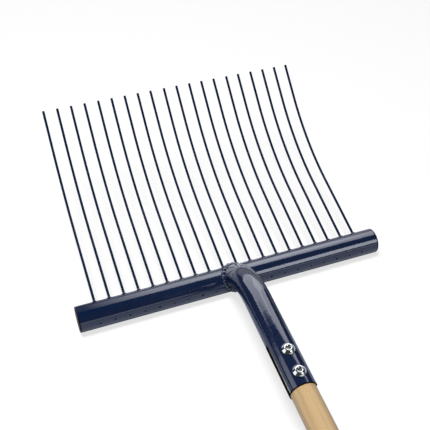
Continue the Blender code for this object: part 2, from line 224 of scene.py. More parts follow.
# Softboxes, each by its direction from the socket's foot (degrees from +Y towards +X, and up), its
# distance, width, height and roll, and its brightness, where 1 is a white floor. Only reflections
# see them
LAMP_TARGET = (0, -0.03, 0.03)
SOFTBOXES = {
    "front_main": (11.0, 45.8, 0.61, 1.19, 0.54, -1.2, 2.75),
    "front_bright": (31, 44, 0.76, 0.34, 0.42, 25, 1.3),
    "front_low": (18, 11, 1.55, 2.4, 0.62, 0, 0.85),
    "rear_right": (148.0, 33.8, 1.66, 0.65, 0.72, 5.0, 4.2),
    "rear_low": (172, 8, 1.9, 3.0, 0.46, 0, 0.85),
    "left_side": (-92, 26, 1.15, 0.95, 0.75, 0, 1.5),
}
# The overhead light in the same terms, which lights the floor and the wood and no reflection sees
OVERHEAD = (-95, 79, 2.8, 0.78, 0.78, 0, 36.0)
WORLD_LEVEL = 0.06


def lying_tilt():
    """How far the fork tips back to lie on its crossbar and the rounded edge of its butt."""
    length = -BUTT_Y - BUTT_ROUND
    height = HANDLE_HEIGHT - HANDLE_BUTT_RADIUS + BUTT_ROUND
    return math.atan2(height, length) + math.asin((BAR_RADIUS - BUTT_ROUND) / math.hypot(length, height))


def tool_frame():
    """The matrix that takes the fork's own frame to the scene's."""
    low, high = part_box("crossbar")
    middle = (Vector(low) + Vector(high)) / 2
    return Matrix.Translation(middle) @ Matrix.Rotation(TILT, 4, "X")


TILT = lying_tilt()
TOOL = tool_frame()


# Node trees


class Graph:
    """Adds nodes to a tree with short calls, where an input is a value or another node's socket."""

    def __init__(self, tree):
        self.tree = tree

    def feed(self, socket, value):
        if isinstance(value, bpy.types.NodeSocket):
            self.tree.links.new(value, socket)
        else:
            socket.default_value = value

    def add(self, kind, inputs=(), **settings):
        node = self.tree.nodes.new(kind)
        for key, value in settings.items():
            setattr(node, key, value)
        for key, value in dict(inputs).items():
            self.feed(node.inputs[key], value)
        return node

    def maths(self, operation, first, second=0.0):
        return self.add("ShaderNodeMath", {0: first, 1: second}, operation=operation).outputs[0]


class Nodes(Graph):
    """A material round one shader, on the piece's own coordinates."""

    def __init__(self, name):
        self.material = bpy.data.materials.new(name)
        self.material.use_nodes = True
        super().__init__(self.material.node_tree)
        self.shader = self.tree.nodes["Principled BSDF"]
        self.coords = self.add("ShaderNodeTexCoord").outputs["Object"]

    def set(self, **values):
        for key, value in values.items():
            self.feed(self.shader.inputs[key.replace("_", " ")], value)

    def mapped(self, scale, rotation=(0, 0, 0), location=(0, 0, 0), source=None):
        """The piece's own coordinates, or others, moved, turned and scaled for a pattern."""
        inputs = {
            "Vector": source or self.coords,
            "Scale": scale,
            "Rotation": rotation,
            "Location": location,
        }
        return self.add("ShaderNodeMapping", inputs).outputs["Vector"]

    def split(self):
        return self.add("ShaderNodeSeparateXYZ", {0: self.coords}).outputs

    def noise(self, scale, vector=None, detail=2.0, roughness=0.5):
        inputs = {
            "Vector": vector or self.coords,
            "Scale": scale,
            "Detail": detail,
            "Roughness": roughness,
        }
        return self.add("ShaderNodeTexNoise", inputs).outputs["Fac"]

    def spread(self, value, low, high, start=0.0, end=1.0):
        """Spreads start..end of a value over low..high."""
        inputs = {"Value": value, "From Min": start, "From Max": end, "To Min": low, "To Max": high}
        return self.add("ShaderNodeMapRange", inputs).outputs["Result"]

    def mix(self, factor, first, second):
        inputs = {0: factor}
        for key, value in ((6, first), (7, second)):
            inputs[key] = value if isinstance(value, bpy.types.NodeSocket) else (*value, 1.0)
        return self.add("ShaderNodeMix", inputs, data_type="RGBA").outputs[2]

    def bump(self, height, strength, distance, under=None):
        inputs = {"Height": height, "Strength": strength, "Distance": distance}
        if under is not None:
            inputs["Normal"] = under
        return self.add("ShaderNodeBump", inputs).outputs["Normal"]


class Tree(Graph):
    """A geometry node tree with named inputs."""

    def __init__(self, name):
        super().__init__(bpy.data.node_groups.new(name, "GeometryNodeTree"))
        for in_out in ("INPUT", "OUTPUT"):
            self.tree.interface.new_socket("Geometry", in_out=in_out, socket_type="NodeSocketGeometry")
        self.start = self.add("NodeGroupInput")
        self.end = self.add("NodeGroupOutput")
        self.values = {}

    def value(self, name, kind, value):
        socket = self.tree.interface.new_socket(name, in_out="INPUT", socket_type="NodeSocket" + kind)
        self.values[socket.identifier] = value
        return self.start.outputs[name]

    def vector(self, **parts):
        return self.add("ShaderNodeCombineXYZ", parts).outputs[0]

    def sweep(self, sides, radius, share, caps):
        """The host's curve as a rod, whose radius is multiplied by a share along it."""
        inputs = {"Resolution": sides, "Radius": radius}
        circle = self.add("GeometryNodeCurvePrimitiveCircle", inputs).outputs[0]
        curve = self.start.outputs["Geometry"]
        inputs = {"Curve": curve, "Profile Curve": circle, "Scale": share, "Fill Caps": caps}
        return self.add("GeometryNodeCurveToMesh", inputs).outputs[0]

    def set_out(self, shape, turned=False):
        """A copy of a shape at each tine's place, with a turn of its own or none."""
        count = self.value("Tine count", "Int", TINE_COUNT)
        step = self.vector(X=self.value("Pitch", "Float", TINE_PITCH))
        origin = self.vector(X=self.value("First place", "Float", tine_places()[0]))
        inputs = {"Count": count, "Start Location": origin, "Offset": step}
        inputs = {"Points": self.add("GeometryNodeMeshLine", inputs).outputs[0], "Instance": shape}
        if turned:
            lean = self.value("Sideways lean", "Float", TINE_LEAN)
            back = self.vector(Z=self.maths("MULTIPLY", lean, -1.0))
            seed = self.value("Seed", "Int", TINE_SEED)
            limits = {"Min": back, "Max": self.vector(Z=lean), "Seed": seed}
            chance = self.add("FunctionNodeRandomValue", limits, data_type="FLOAT_VECTOR").outputs[0]
            inputs["Rotation"] = self.add("FunctionNodeEulerToRotation", {0: chance}).outputs[0]
        return self.add("GeometryNodeInstanceOnPoints", inputs).outputs[0]

    def finish(self, geometry, material):
        """Ends the tree in real geometry with its material."""
        coat = self.value("Paint", "Material", material)
        real = self.add("GeometryNodeRealizeInstances", {"Geometry": geometry}).outputs[0]
        coated = self.add("GeometryNodeSetMaterial", {"Geometry": real, "Material": coat}).outputs[0]
        self.tree.links.new(coated, self.end.inputs["Geometry"])

    def grow(self, host):
        """Runs the tree on a host object and gives the plain mesh that it makes."""
        change = host.modifiers.new("grow", "NODES")
        change.node_group = self.tree
        for key, value in self.values.items():
            change[key] = value
        bpy.context.view_layer.update()
        graph = bpy.context.evaluated_depsgraph_get()
        mesh = bpy.data.meshes.new_from_object(host.evaluated_get(graph))
        bpy.data.objects.remove(host)
        return mesh


# Materials


def make_paint(name, lumps, shine=PAINT_SHINE, end_shine=None):
    """Glossy navy powder coat: a fine skin of ripples, slow changes of gloss and a few dull specks.

    With end_shine, the sheen falls to that level along the top and front of the crossbar's left end, as a
    painted dark reflection.
    """
    nodes = Nodes(name)
    if end_shine is not None:
        axis = TOOL @ Vector((0, 0, 0))
        place = nodes.split()
        sideways = nodes.spread(place["X"], 1.0, 0.0, *BAR_END)
        rear, front = axis.y - 0.7 * BAR_RADIUS, axis.y - 0.3 * BAR_RADIUS
        ahead = nodes.spread(place["Y"], 0.0, 1.0, rear, front)
        shine = nodes.spread(nodes.maths("MULTIPLY", sideways, ahead), shine, end_shine)
    slow = nodes.noise(34.0, detail=3.0)
    skin = nodes.noise(620.0, detail=2.0)
    specks = nodes.noise(900.0, detail=1.0)
    dusty = nodes.spread(specks, 0.0, 0.5, 0.66, 0.80)
    gloss = nodes.spread(slow, 0.07, 0.13, 0.3, 0.7)
    dulled = nodes.maths("ADD", gloss, nodes.spread(specks, 0.0, 0.12, 0.64, 0.78))
    ripple = nodes.bump(skin, 0.10, 0.0004)
    nodes.set(
        Base_Color=nodes.mix(dusty, nodes.mix(slow, *NAVY), DUST),
        Roughness=dulled,
        Normal=nodes.bump(nodes.noise(90.0, detail=1.0), lumps, 0.0020, ripple),
        Specular_IOR_Level=shine,
        Specular_Tint=PAINT_SHEEN_TINT,
    )
    return nodes.material


def make_worn_edge():
    """Paint rubbed thin beside the slots, more towards the mouth, over dull olive primer."""
    nodes = Nodes("worn_lip")
    mouth = TOOL @ Vector((0, MOUTH_Y, 0))
    near = nodes.spread(nodes.split()["Y"], 1.0, 0.12, mouth.y, mouth.y + 0.85 * SLOT_LENGTH)
    patches = nodes.spread(nodes.noise(380.0, detail=3.0), 0.4, 1.2, 0.3, 0.6)
    rubbed = nodes.maths("MULTIPLY", near, patches)
    nodes.set(
        Base_Color=nodes.mix(rubbed, THIN_NAVY, nodes.mix(nodes.noise(160.0), *PRIMER)),
        Roughness=0.5,
        Normal=nodes.bump(nodes.noise(500.0), 0.2, 0.0004),
    )
    return nodes.material


def make_painted_shade():
    """Painted shade: a dull, lumpy black along the slots' lips, in the socket's mouth and on the pole inside
    it.
    """
    nodes = Nodes("black_grime")
    lumps = nodes.noise(700.0, detail=3.0)
    nodes.set(
        Base_Color=nodes.mix(lumps, *SHADE_BLACK),
        Roughness=nodes.spread(lumps, 0.75, 0.95),
        Specular_IOR_Level=0.08,
        Normal=nodes.bump(lumps, 0.3, 0.0004),
    )
    return nodes.material


def make_plastic():
    """Black moulded plastic with a faint grain."""
    nodes = Nodes("black_plastic")
    grain = nodes.noise(1400.0, detail=2.0)
    nodes.set(
        Base_Color=nodes.mix(nodes.noise(60.0), *PLASTIC),
        Roughness=nodes.spread(grain, 0.30, 0.48),
        Specular_IOR_Level=0.2,
        Normal=nodes.bump(grain, 0.18, 0.0003),
    )
    return nodes.material


def make_wood():
    """Pale ash, turned and sanded: growth lines, long pores and slow streaks along the pole."""
    nodes = Nodes("ash_wood")
    axis = Matrix.Rotation(-TILT, 4, "X") @ (TOOL @ Vector((0, 0, HANDLE_HEIGHT)))
    along = nodes.mapped((1, 1, 1), (-TILT, 0, 0), (-axis.x, 0, -axis.z))

    def streaked(across, lengthways, **settings):
        return nodes.noise(1.0, nodes.mapped((across, lengthways, across), source=along), **settings)

    # The tree's heart lies beside the pole and wanders, so that the rings run as uneven lines
    drift = nodes.spread(streaked(26, 1.8, detail=2.0), -0.006, 0.006)
    heart = nodes.add("ShaderNodeCombineXYZ", {"X": drift, "Z": 0.030}).outputs[0]
    shift = nodes.add("ShaderNodeVectorMath", {0: along, 1: heart}, operation="ADD").outputs[0]
    rings = nodes.add(
        "ShaderNodeTexWave",
        {"Vector": shift, "Scale": 62.0, "Distortion": 1.6, "Detail": 2.0, "Detail Scale": 0.4},
        wave_type="RINGS",
        rings_direction="Y",
    ).outputs["Fac"]
    pores = streaked(1500, 22, detail=3.0, roughness=0.6)
    streaks = streaked(190, 2.5, detail=3.0)
    fibres = streaked(700, 9, detail=2.0)
    colour = nodes.mix(streaks, *ASH)
    colour = nodes.mix(nodes.spread(rings, 0.0, 0.50, 0.45, 1.0), colour, ASH_RING)
    colour = nodes.mix(nodes.spread(fibres, 0.0, 0.30, 0.5, 0.75), colour, ASH_FIBRE)
    colour = nodes.mix(nodes.spread(pores, 0.0, 0.60, 0.60, 0.74), colour, ASH_PORE)
    nodes.set(
        Base_Color=colour,
        Roughness=nodes.spread(fibres, 0.42, 0.60),
        Normal=nodes.bump(pores, 0.10, 0.0003),
        Coat_Weight=0.15,
        Coat_Roughness=0.25,
    )
    return nodes.material


def make_zinc(name, bright, smooth, dull):
    """Plated steel with small patches, whose roughness runs from smooth to dull."""
    nodes = Nodes(name)
    patches = nodes.noise(420.0, detail=3.0)
    nodes.set(
        Base_Color=nodes.mix(patches, *([bright * v for v in colour] for colour in ZINC)),
        Metallic=1.0,
        Roughness=nodes.spread(patches, smooth, dull, 0.3, 0.75),
        Normal=nodes.bump(nodes.noise(2600.0, detail=1.0), 0.03, 0.0002),
    )
    return nodes.material


# Meshes


def show(obj):
    bpy.context.scene.collection.objects.link(obj)
    return obj


def finish_piece(name, mesh, nodes, sharp=35):
    """A shown piece from a mesh in the fork's frame, in place of the solids that it stands for."""
    mesh.transform(TOOL)
    mesh.shade_smooth()
    mesh.set_sharp_from_angle(angle=math.radians(sharp))
    piece = show(bpy.data.objects.new(name, mesh))
    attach(piece, "root")
    if nodes:
        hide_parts(*nodes)


def mesh_from(name, bm, material):
    """A mesh of one material, with its faces turned outwards."""
    bmesh.ops.recalc_face_normals(bm, faces=bm.faces)
    mesh = bpy.data.meshes.new(name)
    bm.to_mesh(mesh)
    bm.free()
    mesh.materials.append(material)
    return mesh


def trace(start, heading, moves):
    """Stations (y, z, heading) along lines and arcs in the YZ plane."""
    y, z = start
    stations = [(y, z, heading)]
    for kind, size, angle, steps in moves:
        for _ in range(steps):
            part = angle / steps
            step = size / steps if kind == "line" else 2 * size * math.sin(part / 2)
            y += step * math.cos(heading + part / 2)
            z += step * math.sin(heading + part / 2)
            heading += part
            stations.append((y, z, heading))
    return stations


def line(length, steps=1):
    return ("line", length, 0.0, steps)


def arc(radius, angle, steps):
    return ("arc", radius, angle, steps)


def turned(profile, sides, place=None):
    """A solid turned round Z from (radius, z) points, closed on the axis or on itself."""
    bm = bmesh.new()
    turns = [2 * math.pi * k / sides for k in range(sides)]
    loops = []
    for radius, z in profile:
        points = [(radius * math.cos(t), radius * math.sin(t), z) for t in turns] if radius else [(0, 0, z)]
        loops.append([bm.verts.new(point) for point in points])
    pairs = list(zip(loops, loops[1:]))
    if min(radius for radius, _ in profile) > 0:
        pairs.append((loops[-1], loops[0]))
    for first, second in pairs:
        for k in range(sides):
            n = (k + 1) % sides
            lower = [first[k % len(first)], first[n % len(first)]]
            upper = [second[n % len(second)], second[k % len(second)]]
            bm.faces.new(list(dict.fromkeys(lower + upper)))
    if place is not None:
        bm.transform(place)
    return bm


def round_corner(radius, z, size, steps, turn=1):
    """Points round a convex corner, from its side wall towards its end face."""
    points = []
    for k in range(steps + 1):
        a = math.radians(90 * k / steps)
        points.append((radius - size * (1 - math.cos(a)), z - turn * size * (1 - math.sin(a))))
    return points


def add_prism(bm, sides, radius, depth, place):
    """Adds a closed prism along Z, about the middle of a place."""
    bmesh.ops.create_cone(
        bm, cap_ends=True, segments=sides, radius1=radius, radius2=radius, depth=depth, matrix=place
    )
    return bm


def cut(mesh, tool_bm, name):
    """Takes a closed tool away from a mesh with the exact Boolean, and gives the new mesh."""
    target = show(bpy.data.objects.new(name, mesh))
    tool_mesh = mesh_from(name + "_tool", tool_bm, mesh.materials[0])
    tool = show(bpy.data.objects.new(name + "_tool", tool_mesh))
    change = target.modifiers.new("cut", "BOOLEAN")
    change.object = tool
    change.solver = "EXACT"
    graph = bpy.context.evaluated_depsgraph_get()
    result = bpy.data.meshes.new_from_object(target.evaluated_get(graph))
    for obj in (target, tool):
        bpy.data.objects.remove(obj)
    return result


def path_object(name, points, radii, closed=False):
    """A poly curve through points, each with its share of the full radius."""
    data = bpy.data.curves.new(name, "CURVE")
    data.dimensions = "3D"
    spline = data.splines.new("POLY")
    spline.points.add(len(points) - 1)
    for spot, point, radius in zip(spline.points, points, radii):
        spot.co = (*point, 1.0)
        spot.radius = radius
    spline.use_cyclic_u = closed
    return show(bpy.data.objects.new(name, data))


# Crossbar, plugs and tines


def tine_places():
    return [(k - (TINE_COUNT - 1) / 2) * TINE_PITCH for k in range(TINE_COUNT)]


def tine_point(distance):
    """A point (y, z) of a tine's straight root, from the foot of its normal to the bar's axis."""
    y = distance * math.cos(TINE_ROOT_ANGLE) - TINE_RISE * math.sin(TINE_ROOT_ANGLE)
    z = distance * math.sin(TINE_ROOT_ANGLE) + TINE_RISE * math.cos(TINE_ROOT_ANGLE)
    return (y, z)


def tine_reach():
    """How far from that foot the tine's line meets the bar's surface."""
    return math.sqrt(BAR_RADIUS**2 - TINE_RISE**2)


def make_crossbar(paint):
    """The tube, with softened end edges and the open rear ends of its tine holes."""
    half = BAR_LENGTH / 2
    bore = BAR_RADIUS - BAR_WALL
    outline = [(bore, -half), (BAR_RADIUS - EDGE, -half), (BAR_RADIUS, -half + EDGE)]
    outline += [(BAR_RADIUS, -half + BAR_LENGTH * k / BAR_ROWS) for k in range(1, BAR_ROWS)]
    outline += [(BAR_RADIUS, half - EDGE), (BAR_RADIUS - EDGE, half), (bore, half)]
    sideways = Matrix.Rotation(math.pi / 2, 4, "Y")
    mesh = mesh_from("crossbar_tube", turned(outline, BAR_SIDES, sideways), paint)
    drills = bmesh.new()
    lean = Matrix.Rotation(TINE_ROOT_ANGLE - math.pi / 2, 4, "X")
    y, z = tine_point(-tine_reach())
    chance = random.Random(HOLE_SEED)
    for x in tine_places():
        radius = chance.uniform(*HOLE_RADII)
        add_prism(drills, HOLE_SIDES, radius, DRILL_LENGTH, Matrix.Translation((x, y, z)) @ lean)
    mesh = cut(mesh, drills, "crossbar_tube")
    finish_piece("crossbar_tube", mesh, ["crossbar"], sharp=30)


def make_end_plugs(plastic):
    """Each plug's rounded, slightly dished flange over the bar's end, and its spigot inside."""
    spigot = BAR_RADIUS - BAR_WALL - GAP
    floor = PLUG_FLANGE - PLUG_DISH_DEPTH
    outline = [(0, floor), (PLUG_DISH_RADIUS, floor), (PLUG_DISH_RADIUS + PLUG_DISH_SLOPE, PLUG_FLANGE)]
    outline += round_corner(BAR_RADIUS, PLUG_FLANGE, PLUG_ROUND, PLUG_ROUND_ROWS)[::-1]
    outline += [(BAR_RADIUS, 0.0), (spigot, 0.0), (spigot, -PLUG_SPIGOT)]
    outline += [(PLUG_BORE_RADIUS, -PLUG_SPIGOT), (PLUG_BORE_RADIUS, 0.0), (0, 0.0)]
    for side, name in ((-1, "left"), (1, "right")):
        place = Matrix.Translation((side * (BAR_LENGTH / 2 + GAP), 0, 0))
        place @= Matrix.Rotation(side * math.pi / 2, 4, "Y")
        mesh = mesh_from("plug_" + name, turned(outline, PLUG_SIDES, place), plastic)
        finish_piece("plug_" + name, mesh, ["end_plug_" + name])


def make_tines(paint):
    """One wire swept along its path, set out along the bar, each turned by a hair as real ones are."""
    rear = math.sqrt(BAR_RADIUS**2 - (TINE_RISE + TINE_RADIUS) ** 2)
    root_rows, bend_rows, tip_rows = TINE_ROWS
    moves = [
        line(rear + TINE_ROOT_LENGTH, root_rows),
        arc(TINE_BEND_RADIUS, TINE_BEND_ANGLE, bend_rows),
        line(TINE_TIP_LENGTH - TINE_TIP_CHAMFER, tip_rows),
        line(TINE_TIP_CHAMFER),
    ]
    stations = trace(tine_point(-rear), TINE_ROOT_ANGLE, moves)
    radii = [1.0] * (len(stations) - 1) + [1 - TINE_TIP_CHAMFER / TINE_RADIUS]
    host = path_object("tine_path", [(0, y, z) for y, z, _ in stations], radii)
    tree = Tree("tine_row")
    wire = tree.value("Wire radius", "Float", TINE_RADIUS)
    share = tree.add("GeometryNodeInputRadius").outputs[0]
    rod = tree.sweep(TINE_SIDES, wire, share, caps=True)
    tree.finish(tree.set_out(rod, turned=True), paint)
    nodes = [f"tine_{k:02d}" for k in range(1, TINE_COUNT + 1)]
    finish_piece("wire_tines", tree.grow(host), nodes, sharp=40)


def make_tine_collars(paint):
    """The small ring of paint that fills the gap round each tine where it enters the bar."""
    y, z = tine_point(tine_reach())
    profile = [(TINE_RADIUS + out, along) for out, along in COLLAR]
    # Halfway between the tine's direction and the bar's own normal
    lean = (TINE_ROOT_ANGLE + math.atan2(z, y)) / 2 - math.pi / 2
    place = Matrix.Translation((0, y, z)) @ Matrix.Rotation(lean, 4, "X")
    collar = mesh_from("tine_collar", turned(profile, COLLAR_SIDES, place), paint)
    host = show(bpy.data.objects.new("tine_collar", collar))
    tree = Tree("collar_row")
    tree.finish(tree.set_out(tree.start.outputs["Geometry"]), paint)
    finish_piece("tine_collars", tree.grow(host), [])


# Socket and weld


def socket_columns():
    """Angles round the socket with a column on each edge of its two slots, and the kind of each strip.

    A strip is given by the column that it starts at: "slot" is open near the mouth, "jaw" carries the
    painted shade along its lips, "edge" the worn paint above it, and "wall" the rest. Each span below is a
    start, an end, its number of strips and their kind.
    """
    half_slot = math.asin(SLOT_WIDTH / 2 / SOCKET_RADIUS)
    right, left = half_slot, math.pi - half_slot
    under_left, under_right = math.pi + half_slot, 2 * math.pi - half_slot
    lip = SHADE_ANGLE + LIP_ANGLE
    spans = [
        (right, right + SHADE_ANGLE, 1, "jaw"),
        (right + SHADE_ANGLE, right + lip, 1, "edge"),
        (right + lip, left - lip, 52, "wall"),
        (left - lip, left - SHADE_ANGLE, 1, "edge"),
        (left - SHADE_ANGLE, left, 1, "jaw"),
        (left, under_left, 6, "slot"),
        (under_left, under_left + JAW_ANGLE, 6, "jaw"),
        (under_left + JAW_ANGLE, under_right - JAW_ANGLE, 42, "wall"),
        (under_right - JAW_ANGLE, under_right, 6, "jaw"),
        (under_right, 2 * math.pi + half_slot, 6, "slot"),
    ]
    angles, kinds = [], []
    for start, end, steps, kind in spans:
        angles += [start + (end - start) * k / steps for k in range(steps)]
        kinds += [kind] * steps
    return angles, kinds


def socket_point(station, angle, radius):
    """A point of the tube's wall, with angle 90 degrees on the outer side of its bend."""
    y, z, heading = station
    lift = radius * math.sin(angle)
    return Vector((radius * math.cos(angle), y + lift * math.sin(heading), z - lift * math.cos(heading)))


def socket_foot(angle, radius):
    """How far out along the exit the wall at an angle starts, so that it sits on the bar."""
    return math.sqrt(max((BAR_RADIUS + GAP) ** 2 - (radius * math.sin(angle)) ** 2, 0.0))


def socket_stations():
    """The tube's rows past its foot: the bend, the plain straight and the slotted straight."""
    moves = [line(SOCKET_STUB), arc(SOCKET_BEND_RADIUS, SOCKET_BEND_ANGLE, BEND_ROWS)]
    bend = trace((0, 0), EXIT_HEADING, moves)[1:]
    bend_end, slot_start, rim = bend[-1][0], MOUTH_Y + SLOT_LENGTH, MOUTH_Y + EDGE
    plain, slotted = bend_end - slot_start, slot_start - rim - MOUTH_SHADE
    places = [bend_end - plain * k / PLAIN_ROWS for k in range(1, PLAIN_ROWS + 1)]
    places += [slot_start - slotted * k / SLOT_ROWS for k in range(1, SLOT_ROWS + 1)] + [rim]
    return bend + [(y, HANDLE_HEIGHT, math.pi) for y in places]


def socket_skin(bm, columns, radius, mouth_radius):
    """Rows of corners over the tube's inside or outside, from its coped foot to its mouth."""
    stations = socket_stations()
    out = Vector((0, math.cos(EXIT_HEADING), math.sin(EXIT_HEADING)))
    tops = [socket_point(stations[0], angle, radius) for angle in columns]
    feet = [out * (socket_foot(angle, radius) - SOCKET_STUB) for angle in columns]
    rows = [[(top + foot).lerp(top, share) for top, foot in zip(tops, feet)] for share in FOOT_ROWS]
    rows += [[socket_point(station, angle, radius) for angle in columns] for station in stations]
    mouth = (MOUTH_Y, HANDLE_HEIGHT, math.pi)
    rows.append([socket_point(mouth, angle, mouth_radius) for angle in columns])
    return [[bm.verts.new(point) for point in row] for row in rows]


def make_socket(paint, worn, painted_shade):
    """The bent tube: coped foot, two slots up from the mouth, worn lips with painted shade, and softened
    rims.
    """
    columns, kinds = socket_columns()
    count = len(columns)
    bore = SOCKET_RADIUS - SOCKET_WALL
    bm = bmesh.new()
    outer = socket_skin(bm, columns, SOCKET_RADIUS, SOCKET_RADIUS - EDGE)
    inner = socket_skin(bm, columns, bore, bore + EDGE)
    slot_row = len(FOOT_ROWS) + BEND_ROWS + PLAIN_ROWS
    last = len(outer) - 1
    # Coats by kind: navy paint, worn paint, and black painted shade
    coats = {"wall": 0, "slot": 0, "edge": 1, "jaw": 2}

    def face(corners, kind="wall"):
        bm.faces.new(corners).material_index = coats[kind]

    for row in range(last):
        for k in range(count):
            n = (k + 1) % count
            kind = kinds[k] if row >= slot_row else "wall"
            if kind == "slot":
                continue
            # The last rows at the mouth get painted shade
            if row >= last - 2:
                kind = "jaw"
            face((outer[row][k], outer[row][n], outer[row + 1][n], outer[row + 1][k]), kind)
            face((inner[row][n], inner[row][k], inner[row + 1][k], inner[row + 1][n]), kind)
    for k in range(count):
        n = (k + 1) % count
        face((outer[0][n], outer[0][k], inner[0][k], inner[0][n]))
        # The mouth's end face gets painted shade; the slots' ends keep the navy coat
        end, kind = (slot_row, "slot") if kinds[k] == "slot" else (last, "jaw")
        face((outer[end][k], outer[end][n], inner[end][n], inner[end][k]), kind)
        lip = {kinds[k], kinds[k - 1]}
        if "slot" in lip and len(lip) == 2:
            for row in range(slot_row, last):
                corners = (outer[row][k], outer[row + 1][k], inner[row + 1][k], inner[row][k])
                face(corners, (lip - {"slot"}).pop())
    loose = [v for v in bm.verts if not v.link_faces]
    bmesh.ops.delete(bm, geom=loose, context="VERTS")
    mesh = mesh_from("socket_tube", bm, paint)
    mesh.materials.append(worn)
    mesh.materials.append(painted_shade)
    finish_piece("socket_tube", mesh, ["socket"], sharp=32)


def seam_point(turn):
    """A point of the seam between the socket's wall and the bar."""
    reach = socket_foot(turn, SOCKET_RADIUS)
    station = (reach * math.cos(EXIT_HEADING), reach * math.sin(EXIT_HEADING), EXIT_HEADING)
    return socket_point(station, turn, SOCKET_RADIUS)


def make_weld(paint):
    """The bead round the socket's foot: overlapping ripples of uneven size."""
    turns = [2 * math.pi * k / WELD_POINTS for k in range(WELD_POINTS)]
    points = [seam_point(turn) for turn in turns]
    radii = [1 + WELD_SWELL * math.sin(turn) for turn in turns]
    host = path_object("weld_path", points, radii, closed=True)
    tree = Tree("weld_bead")
    bead = tree.value("Bead radius", "Float", WELD_RADIUS)
    ripples = tree.value("Ripples", "Int", WELD_RIPPLES)
    least = tree.value("Least share", "Float", 0.36)
    depth = tree.value("Ripple depth", "Float", 0.50)
    uneven = tree.value("Unevenness", "Float", 0.36)
    factor = tree.add("GeometryNodeSplineParameter").outputs["Factor"]
    phase = tree.maths("FRACT", tree.maths("MULTIPLY", factor, ripples))
    hump = tree.maths("POWER", tree.maths("SINE", tree.maths("MULTIPLY", phase, math.pi)), 0.6)
    blobs = tree.add("ShaderNodeTexNoise", {"Scale": 260.0, "Detail": 1.0}).outputs["Fac"]
    share = tree.maths("ADD", tree.maths("MULTIPLY", hump, depth), tree.maths("MULTIPLY", blobs, uneven))
    swell = tree.add("GeometryNodeInputRadius").outputs[0]
    share = tree.maths("MULTIPLY", tree.maths("ADD", share, least), swell)
    tree.finish(tree.sweep(WELD_SIDES, bead, share, caps=False), paint)
    finish_piece("weld_bead", tree.grow(host), ["socket_weld"], sharp=80)


# Handle and fasteners


def make_handle(wood, painted_shade):
    """The pole: a light chamfer at its top, a slight waist, a rounded butt and painted shade inside the
    socket.
    """
    free = HANDLE_LENGTH - HANDLE_ENGAGEMENT - BUTT_ROUND
    outline = [(0, 0), (HANDLE_RADIUS - HANDLE_CHAMFER, 0), (HANDLE_RADIUS, -HANDLE_CHAMFER)]
    for k in range(HANDLE_ROWS + 1):
        share = 2 * k / HANDLE_ROWS
        start, end = HANDLE_WAIST_RADIUS, HANDLE_BUTT_RADIUS
        if share <= 1:
            start, end = HANDLE_RADIUS, HANDLE_WAIST_RADIUS
        # The easing starts over at the middle row, so that row stands out as a low ring
        ease = (1 - math.cos(math.pi * (share % 1 if share < 2 else 1))) / 2
        outline.append((start + (end - start) * ease, -HANDLE_ENGAGEMENT - free * k / HANDLE_ROWS))
    corner = round_corner(HANDLE_BUTT_RADIUS, -HANDLE_LENGTH, BUTT_ROUND, BUTT_ROUND_ROWS, turn=-1)
    outline += corner[1:]
    outline.append((0, -HANDLE_LENGTH))
    place = Matrix.Translation((0, HANDLE_TOP_Y, HANDLE_HEIGHT)) @ Matrix.Rotation(-math.pi / 2, 4, "X")
    mesh = mesh_from("handle_pole", turned(outline, HANDLE_SIDES, place), wood)
    mesh.materials.append(painted_shade)
    # Painted shade on the pole from just inside the socket's mouth upwards
    for face in mesh.polygons:
        if face.center.y > MOUTH_Y + SHADE_SETBACK:
            face.material_index = 1
    finish_piece("handle_pole", mesh, ["handle"])


def head_outline():
    """The head's side and crown: a short rim, a slope that eases off, and a flat land."""
    radius, z = HEAD_RADIUS - EDGE, HEAD_RIM
    points = [(radius, 0), (HEAD_RADIUS, EDGE), (HEAD_RADIUS, z - EDGE), (radius, z)]
    run = (radius - HEAD_LAND_RADIUS) / HEAD_STEPS
    shares = [(k / (HEAD_STEPS - 1)) ** HEAD_SLOPE_EASE for k in range(HEAD_STEPS)]
    slopes = [HEAD_SLOPE_RIM + (HEAD_SLOPE_LAND - HEAD_SLOPE_RIM) * share for share in shares]
    scale = (HEAD_HEIGHT - HEAD_RIM) / sum(run * math.tan(slope) for slope in slopes)
    for slope in slopes:
        radius -= run
        z += run * math.tan(slope) * scale
        points.append((radius, z))
    return points


def make_bolt(where, y, zinc, dull):
    """A crowned head with a dished key recess, on a plain shank."""
    grip = 2 * SOCKET_RADIUS + 2 * GAP + GAP + WASHER_THICKNESS + GAP
    reach = grip + NUT_HEIGHT + NUT_COLLAR_HEIGHT + THREAD_SHOWING
    outline = [(0, -reach), (BOLT_RADIUS - BOLT_CHAMFER, -reach), (BOLT_RADIUS, -reach + BOLT_CHAMFER)]
    outline += [(BOLT_RADIUS, -GAP), (BOLT_RADIUS, 0)]
    outline += head_outline()
    outline.append((0, HEAD_HEIGHT))
    seat = Matrix.Translation((0, y, HANDLE_HEIGHT + SOCKET_RADIUS + GAP))
    land = seat @ Matrix.Translation((0, 0, HEAD_HEIGHT))
    mesh = mesh_from("bolt_" + where, turned(outline, FASTENER_SIDES, seat), zinc)
    corner = KEY_ACROSS_FLATS / 2 / math.cos(math.pi / 6)
    mesh = cut(mesh, add_prism(bmesh.new(), 6, corner, 2 * KEY_DEPTH, land), "bolt_" + where)
    bottom, top = DISH[0][1], DISH[-1][1]
    dish = [(0, bottom)] + [(corner + out, z) for out, z in DISH] + [(0, top)]
    mesh = cut(mesh, turned(dish, FASTENER_SIDES, land), "bolt_" + where)
    mesh.materials.append(dull)
    for face in mesh.polygons:
        spot = seat.inverted() @ face.center
        if 0 < spot.z < HEAD_HEIGHT + bottom and math.hypot(spot.x, spot.y) < corner:
            face.material_index = 1
    finish_piece("button_bolt_" + where, mesh, ["bolt_" + where], sharp=28)


